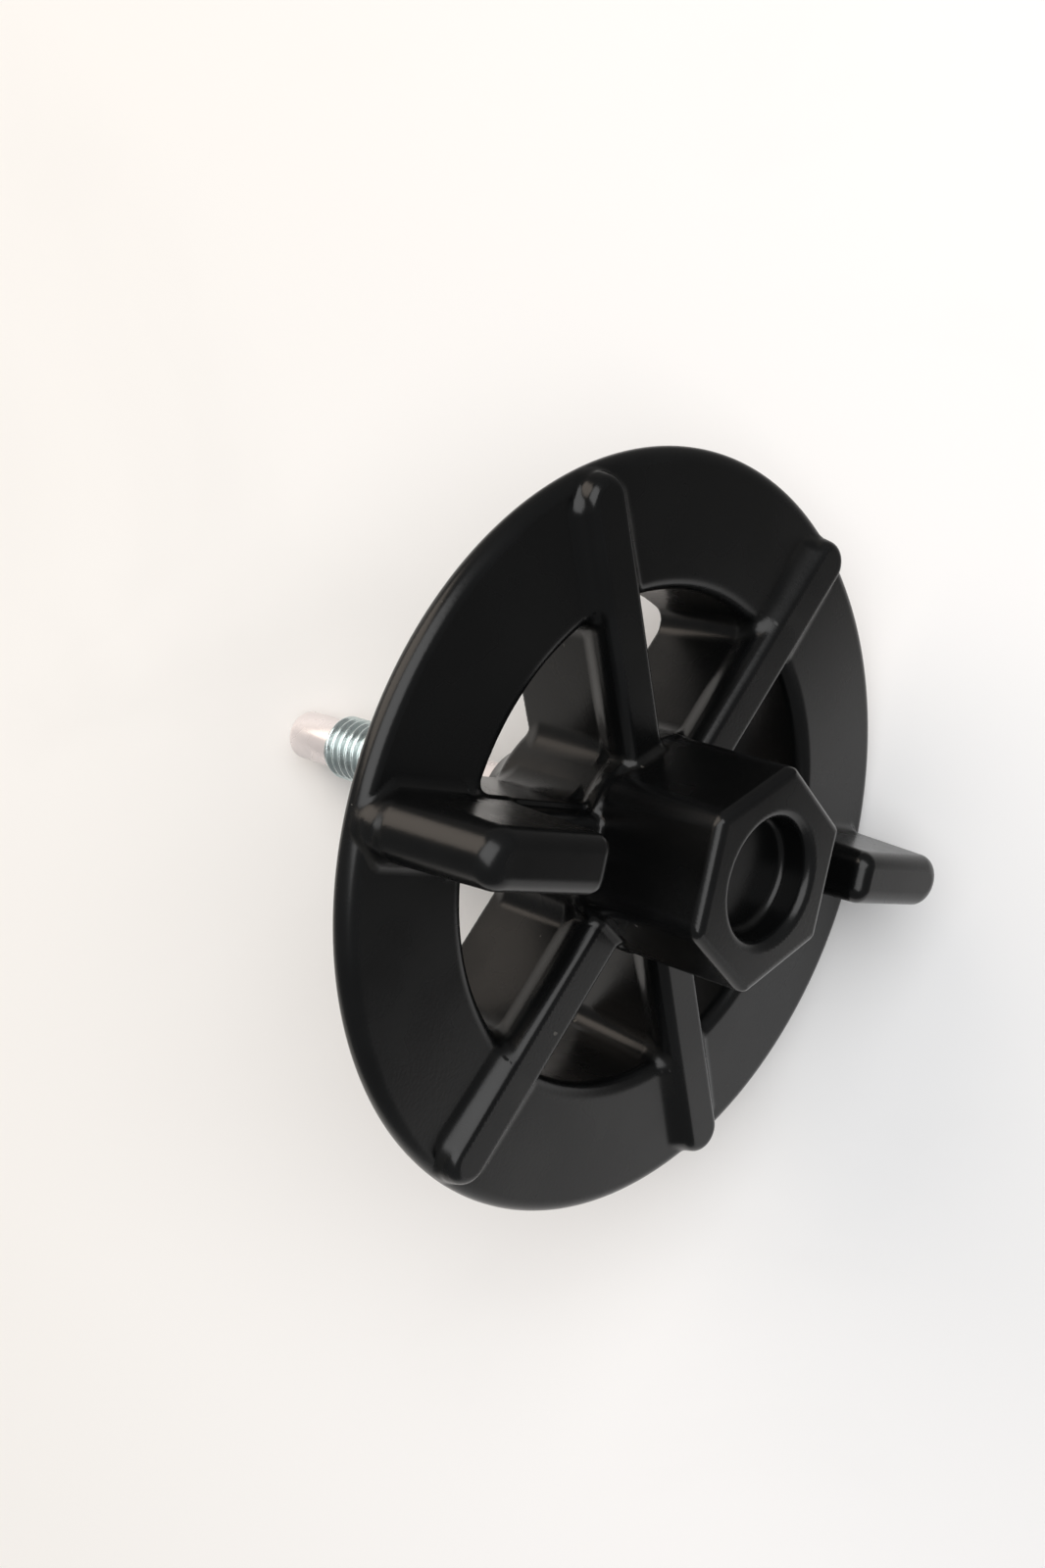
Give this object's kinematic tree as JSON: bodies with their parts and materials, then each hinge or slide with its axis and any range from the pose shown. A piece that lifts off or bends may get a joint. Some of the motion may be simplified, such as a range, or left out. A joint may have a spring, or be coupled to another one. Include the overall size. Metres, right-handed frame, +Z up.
{
  "type": "spare tire retainer nut",
  "caption": "Black plastic hand wheel with a wrench hexagon, finger wings and a captured steel bolt, that clamps a spare wheel.",
  "frame": {"origin": "bottom centre of the part's box, on the floor that the loose part lies on", "axes": "+Z up from the floor; the bolt's axis lies in the XZ plane and climbs towards +X, so the hexagon faces +X and up, and the bolt's tip is at -X"},
  "size_m": [0.0828, 0.084, 0.0747],
  "materials": {
    "black_plastic": "satin moulded plastic, slightly glossy on the hexagon and wing edges",
    "zinc_steel": "bright zinc plate with a faint blue-green tint on the thread"
  },
  "bodies": {
    "root": {"retainer_body": "black_plastic", "bolt": "zinc_steel"}
  },
  "joints": []
}
